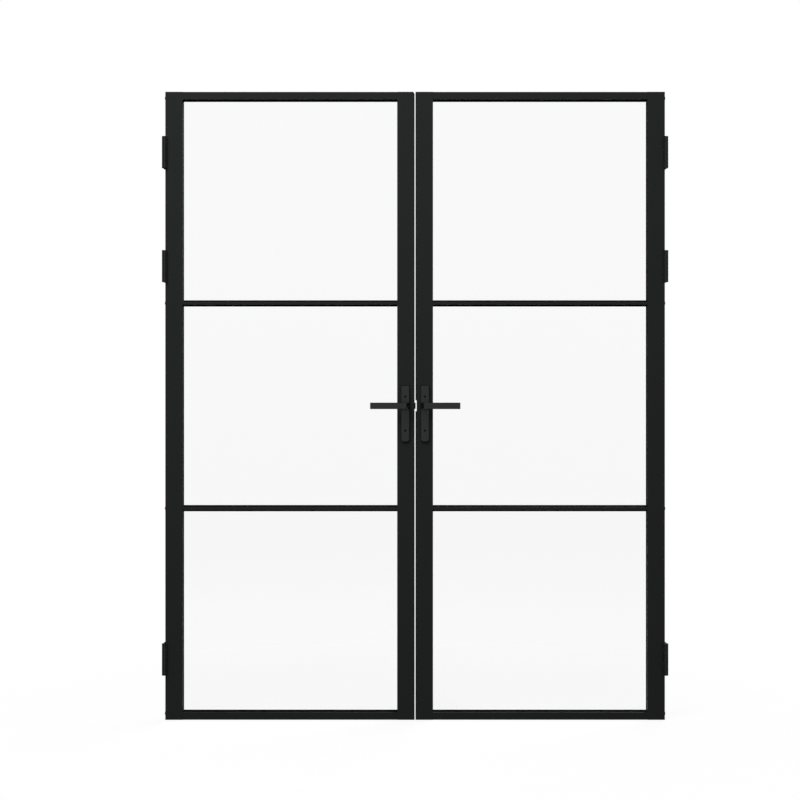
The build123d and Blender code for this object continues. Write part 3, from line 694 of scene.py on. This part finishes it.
class DOORS_OT_panes(bpy.types.Operator):
    """Glaze the three panes of each leaf"""
    bl_idname = "french_doors.panes"
    bl_label = "Glaze Panes"

    def execute(self, context):
        panes = on_both(*[f"{level}_glass" for level in LEVELS])
        paint(panes, finish_of(toughened_glass, context.scene))
        # Clear glass lets the light through, so the panes cast no shadow.
        for pane in panes:
            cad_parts[pane].visible_shadow = False
        return {"FINISHED"}


class DOORS_OT_gaskets(bpy.types.Operator):
    """Fit a lipped gasket round each pane"""
    bl_idname = "french_doors.gaskets"
    bl_label = "Fit Gaskets"

    def execute(self, context):
        for side in SIDES:
            fit_gaskets(side, context.scene.door_gaskets, finish_of(gasket_rubber, context.scene))
        return {"FINISHED"}


class DOORS_OT_hinges(bpy.types.Operator):
    """Coat the hinges' flaps and pins, and plate the steel behind them"""
    bl_idname = "french_doors.hinges"
    bl_label = "Finish Hinges"

    def execute(self, context):
        flaps = [f"{level}_{flap}" for level in HINGES for flap in ("hinge_flap", "jamb_flap")]
        paint(on_both(*flaps) + ["hinge_pins"], finish_of(hardware_coat, context.scene))
        paint(on_both("hinge_backing_plates"), finish_of(zinc_steel, context.scene))
        return {"FINISHED"}


class DOORS_OT_handles(bpy.types.Operator):
    """Coat the levers and their backplates, and plate the spindles"""
    bl_idname = "french_doors.handles"
    bl_label = "Finish Handles"

    def execute(self, context):
        names = ("front_plate", "rear_plate", "front_lever", "rear_lever")
        paint(on_both(*names), finish_of(hardware_coat, context.scene))
        paint(on_both("spindle"), finish_of(zinc_steel, context.scene))
        return {"FINISHED"}


class DOORS_OT_latch(bpy.types.Operator):
    """Plate the latch in the left leaf and the strike in the right leaf, and wind the latch's spring"""
    bl_idname = "french_doors.latch"
    bl_label = "Finish Latch"

    def execute(self, context):
        shown = ("left_latch_case", "left_latch_bolt", "right_strike_plate")
        paint(shown, finish_of(latch_plating, context.scene))
        zinc = finish_of(zinc_steel, context.scene)
        paint(("left_latch_follower",), zinc)
        wind_spring(context.scene.door_spring, zinc)
        return {"FINISHED"}


class DOORS_OT_edge_screws(bpy.types.Operator):
    """Fit the domed screws of the outer edges and the countersunk ones of the meeting edges"""
    bl_idname = "french_doors.edge_screws"
    bl_label = "Fit Edge Screws"

    def execute(self, context):
        sizes = context.scene.door_screws
        oxide = finish_of(black_oxide, context.scene)
        domed = ScrewKind(sizes.assembly_shank, sizes.long_thread, sizes.button_height, sizes.button_rim)
        sunk = ScrewKind(sizes.assembly_shank, sizes.long_thread)
        latch = ScrewKind(sizes.latch_shank, sizes.short_thread)
        for side, sign in SIDES.items():
            node = f"{side}_meeting_edge_screws"
            longest = max(high.x - low.x for low, high in solids_in(node))
            fit_screws(f"{side}_outer_edge_screws", f"{side}_leaf", X_AXIS, lambda low, high: sign,
                       lambda total, way: domed, sizes, oxide)
            fit_screws(node, f"{side}_leaf", X_AXIS, lambda low, high: -sign,
                       lambda total, way: sunk if total > longest / 2 else latch, sizes, oxide)
        return {"FINISHED"}


class DOORS_OT_hinge_screws(bpy.types.Operator):
    """Fit the countersunk screws of the hinges' door flaps"""
    bl_idname = "french_doors.hinge_screws"
    bl_label = "Fit Hinge Screws"

    def execute(self, context):
        sizes = context.scene.door_screws
        kind = ScrewKind(sizes.flap_shank, sizes.short_thread)
        for side, sign in SIDES.items():
            fit_screws(f"{side}_hinge_screws", f"{side}_leaf", X_AXIS, lambda low, high: sign,
                       lambda total, way: kind, sizes, finish_of(black_oxide, context.scene))
        return {"FINISHED"}


class DOORS_OT_plate_screws(bpy.types.Operator):
    """Fit the backplates' screws at the front and their sleeve nuts at the rear"""
    bl_idname = "french_doors.plate_screws"
    bl_label = "Fit Plate Screws"

    def execute(self, context):
        sizes = context.scene.door_screws
        screw = ScrewKind(sizes.plate_shank, sizes.plate_thread, sizes.cap_height)
        sleeve = ScrewKind(sizes.sleeve, sizes.plate_thread, sizes.cap_height)
        for side in SIDES:
            fit_screws(f"{side}_plate_screws", f"{side}_leaf", Y_AXIS,
                       lambda low, high: 1 if high.y > -low.y else -1,
                       lambda total, way: sleeve if way > 0 else screw, sizes,
                       finish_of(black_oxide, context.scene))
        return {"FINISHED"}


# Stage

def soft_light(name, where, target, width, power, in_gloss):
    """A square soft light that looks at a point and isn't seen itself, or only in gloss."""
    lamp = bpy.data.lights.new(name, "AREA")
    lamp.shape = "SQUARE"
    lamp.size = width
    lamp.energy = power
    light = bpy.data.objects.new(name, lamp)
    light.location = where
    light.rotation_euler = (target - Vector(where)).to_track_quat("-Z", "Y").to_euler()
    light.visible_camera = False
    light.visible_glossy = in_gloss
    light.visible_transmission = False
    bpy.context.scene.collection.objects.link(light)


def seen_directly(tree):
    """One for what the camera sees itself or through clear glass, without a bounce on the way."""
    path = add(tree, "ShaderNodeLightPath").outputs
    bounces = add(tree, "ShaderNodeMath", {"operation": "ADD"},
                  {0: path["Diffuse Depth"], 1: path["Glossy Depth"]}).outputs[0]
    straight = add(tree, "ShaderNodeMath", {"operation": "LESS_THAN"}, {0: bounces, 1: 1.0}).outputs[0]
    through = add(tree, "ShaderNodeMath", {"operation": "MULTIPLY"},
                  {0: path["Is Transmission Ray"], 1: straight}).outputs[0]
    return add(tree, "ShaderNodeMath", {"operation": "MAXIMUM"},
               {0: path["Is Camera Ray"], 1: through}).outputs[0]


def white_world(stage):
    """White for the eye and through the glass. Gloss sees soft panels before and beside the doors,
    brighter above, and a dim room round them; matt surfaces get an even light."""
    world = bpy.data.worlds.new("white_studio")
    world.use_nodes = True
    tree = world.node_tree
    tree.nodes.clear()
    smooth = {"interpolation_type": "SMOOTHSTEP"}
    towards = add(tree, "ShaderNodeTexCoord").outputs["Generated"]
    along = add(tree, "ShaderNodeSeparateXYZ", inputs={0: towards}).outputs
    sideways = add(tree, "ShaderNodeMath", {"operation": "ABSOLUTE"}, {0: along["X"]}).outputs[0]
    rising = add(tree, "ShaderNodeMapRange", smooth, {
        "Value": along["Z"], "From Min": PANEL_RISE[0], "From Max": PANEL_RISE[1],
        "To Min": stage.panel_low, "To Max": stage.panel_high}).outputs[0]
    before = add(tree, "ShaderNodeMapRange", smooth, {
        "Value": along["Y"], "From Min": FRONT_PANEL[0], "From Max": FRONT_PANEL[1]}).outputs[0]
    beside = add(tree, "ShaderNodeMapRange", smooth, {
        "Value": sideways, "From Min": SIDE_PANEL[0], "From Max": SIDE_PANEL[1]}).outputs[0]
    panels = add(tree, "ShaderNodeMath", {"operation": "MAXIMUM"}, {0: before, 1: beside}).outputs[0]
    gloss = add(tree, "ShaderNodeMix", inputs={
        "Factor": panels, NUMBER_A: stage.dim_room, NUMBER_B: rising}).outputs[NUMBER_OUT]
    glossy = add(tree, "ShaderNodeLightPath").outputs["Is Glossy Ray"]
    indirect = add(tree, "ShaderNodeMix", inputs={
        "Factor": glossy, NUMBER_A: stage.ambient, NUMBER_B: gloss}).outputs[NUMBER_OUT]
    strength = add(tree, "ShaderNodeMix", inputs={
        "Factor": seen_directly(tree), NUMBER_A: indirect, NUMBER_B: 1.0}).outputs[NUMBER_OUT]
    light = add(tree, "ShaderNodeBackground", inputs={"Color": WHITE, "Strength": strength})
    add(tree, "ShaderNodeOutputWorld", inputs={"Surface": light.outputs[0]})
    # Sampled as a lamp, the world would light matt surfaces by what only gloss should see.
    world.cycles.sampling_method = "NONE"
    bpy.context.scene.world = world


def pale_floor(stage):
    """A wide pale floor that keeps a faint shadow near the doors and fades into the white round them."""
    material = bpy.data.materials.new("pale_studio_floor")
    material.use_nodes = True
    tree = material.node_tree
    tree.nodes.clear()
    points = add(tree, "ShaderNodeTexCoord").outputs["Object"]
    reach = add(tree, "ShaderNodeVectorMath", {"operation": "LENGTH"}, {0: points}).outputs["Value"]
    white = add(tree, "ShaderNodeMapRange", {"interpolation_type": "SMOOTHSTEP"}, {
        "Value": reach, "From Min": CAD_BOX[1].x, "From Max": stage.white_reach, "To Min": stage.floor_white,
        "To Max": 1.0}).outputs[0]
    seen = add(tree, "ShaderNodeMath", {"operation": "MULTIPLY"},
               {0: seen_directly(tree), 1: white}).outputs[0]
    matt = add(tree, "ShaderNodeBsdfDiffuse", inputs={"Color": (*stage.floor, 1)}).outputs[0]
    glow = add(tree, "ShaderNodeEmission", inputs={"Color": WHITE}).outputs[0]
    surface = add(tree, "ShaderNodeMixShader", inputs={0: seen, 1: matt, 2: glow}).outputs[0]
    add(tree, "ShaderNodeOutputMaterial", inputs={"Surface": surface})
    half = stage.floor_width / 2
    mesh = bpy.data.meshes.new("studio_floor")
    corners = [(-half, -half, 0), (half, -half, 0), (half, half, 0), (-half, half, 0)]
    mesh.from_pydata(corners, [], [range(len(corners))])
    mesh.materials.append(material)
    floor = bpy.data.objects.new("studio_floor", mesh)
    # The floor takes the doors' shadow and throws no light back on them.
    floor.visible_glossy = False
    floor.visible_diffuse = False
    bpy.context.scene.collection.objects.link(floor)


class DOORS_OT_stage(bpy.types.Operator):
    """Set the white studio: floor, lights and the camera before the doors"""
    bl_idname = "french_doors.stage"
    bl_label = "Set Stage"

    def execute(self, context):
        stage = context.scene.door_stage
        context.scene.view_settings.view_transform = "Standard"
        white_world(stage)
        pale_floor(stage)
        middle = (CAD_BOX[0] + CAD_BOX[1]) / 2
        # In gloss the key would bleach the frames' tops; the rear light draws the rear hardware's rounds.
        soft_light("key_light", stage.key_place, middle, stage.lamp_width, stage.key_power, False)
        soft_light("rear_light", stage.rear_place, middle, stage.lamp_width, stage.rear_power, True)
        lens = bpy.data.cameras.new("camera")
        lens.sensor_fit = "HORIZONTAL"
        lens.lens = lens.sensor_width * stage.camera_distance / stage.view_width
        camera = bpy.data.objects.new("camera", lens)
        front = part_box("left_meeting_stile")[0].y
        camera.location = (-stage.camera_left, front - stage.camera_distance, stage.camera_height)
        camera.rotation_euler = (math.pi / 2, 0, 0)
        context.scene.collection.objects.link(camera)
        context.scene.camera = camera
        return {"FINISHED"}


# Sidebar and registration

OPERATORS = (DOORS_OT_frames, DOORS_OT_plugs, DOORS_OT_panes, DOORS_OT_gaskets, DOORS_OT_hinges,
             DOORS_OT_handles, DOORS_OT_latch, DOORS_OT_edge_screws, DOORS_OT_hinge_screws,
             DOORS_OT_plate_screws, DOORS_OT_stage)
PROPERTY_GROUPS = {"door_finishes": DoorFinishes, "door_gaskets": GasketSizes, "door_spring": SpringSizes,
                   "door_screws": ScrewSizes, "door_stage": StageSetup}


class DOORS_PT_sidebar(bpy.types.Panel):
    """Lists the steps, finishes and sizes of the doors"""
    bl_label = "French Doors"
    bl_idname = "DOORS_PT_sidebar"
    bl_space_type = "VIEW_3D"
    bl_region_type = "UI"
    bl_category = "Doors"

    def draw(self, context):
        for operator in OPERATORS:
            self.layout.operator(operator.bl_idname)
        for group in PROPERTY_GROUPS:
            box = self.layout.box()
            for name in PROPERTY_GROUPS[group].__annotations__:
                box.prop(getattr(context.scene, group), name)


CLASSES = (*PROPERTY_GROUPS.values(), *OPERATORS, DOORS_PT_sidebar)


def register():
    """Register the classes and hang the property groups on the scene."""
    for cls in CLASSES:
        bpy.utils.register_class(cls)
    for name, group in PROPERTY_GROUPS.items():
        setattr(bpy.types.Scene, name, PointerProperty(type=group))


def unregister():
    """Take the property groups and classes away again."""
    for name in PROPERTY_GROUPS:
        delattr(bpy.types.Scene, name)
    for cls in reversed(CLASSES):
        bpy.utils.unregister_class(cls)


def main():
    """Dress the doors."""
    register()
    bpy.ops.french_doors.frames()
    bpy.ops.french_doors.plugs()
    bpy.ops.french_doors.panes()
    bpy.ops.french_doors.gaskets()
    bpy.ops.french_doors.hinges()
    bpy.ops.french_doors.handles()
    bpy.ops.french_doors.latch()
    bpy.ops.french_doors.edge_screws()
    bpy.ops.french_doors.hinge_screws()
    bpy.ops.french_doors.plate_screws()
    bpy.ops.french_doors.stage()


if __name__ == "__main__":
    main()
